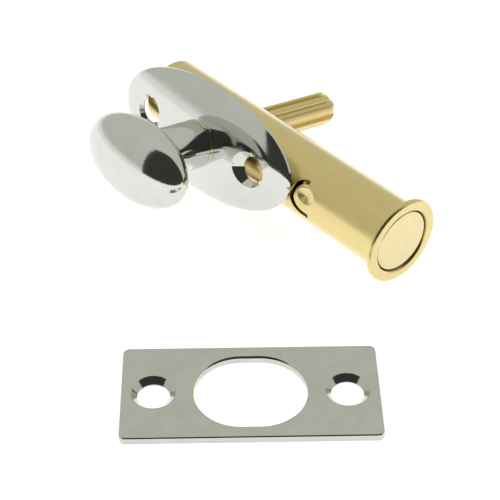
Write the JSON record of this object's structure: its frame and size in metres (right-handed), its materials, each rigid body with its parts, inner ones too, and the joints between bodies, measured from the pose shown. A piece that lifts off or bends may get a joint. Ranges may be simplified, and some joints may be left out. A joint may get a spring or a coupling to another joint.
{
  "type": "mortise door bolt",
  "caption": "Round door bolt in a flanged brass barrel, thrown by an oval knob on an oval plate through a splined spindle, with a flat keep plate beside it.",
  "frame": {"origin": "centre of the flange's front face, on the barrel's axis", "axes": "+X along the barrel, the way the bolt is thrown; +Z up as the set lies on a bench; the spindle leans 12.3 degrees from -Y upwards at its knob end"},
  "size_m": [0.113, 0.1046, 0.0273],
  "materials": {
    "drawn_brass": "bright drawn tube with faint lengthwise lines",
    "turned_brass": "turned end, fine ring marks",
    "splined_brass": "bright drawn bar",
    "polished_chrome": "polished",
    "plain_chrome": "polished flat plate",
    "washer_steel": "plain"
  },
  "bodies": {
    "barrel": {"barrel": "drawn_brass", "keep": "plain_chrome"},
    "plate": {"plate": "polished_chrome"},
    "turn": {"knob": "polished_chrome", "spindle": "splined_brass", "thrust_washer": "turned_brass", "retaining_ring": "washer_steel"},
    "bolt": {"bolt": "turned_brass"}
  },
  "joints": [
    {"name": "turn_reach", "type": "slide", "parent": "barrel", "child": "plate", "axis": [0, -0.977, 0.213], "range_m": [0, 0.02]},
    {"name": "knob_turn", "type": "hinge", "parent": "plate", "child": "turn", "pos_m": [-0.0537, 0, 0], "axis": [0, -0.977, 0.213], "range_deg": [0, 270]},
    {"name": "bolt_throw", "type": "slide", "parent": "barrel", "child": "bolt", "axis": [1, 0, 0], "range_m": [0, 0.016]}
  ],
  "couplings": [
    {"joint": "knob_turn", "follows": "bolt_throw", "rad_per_m": 294.12}
  ]
}
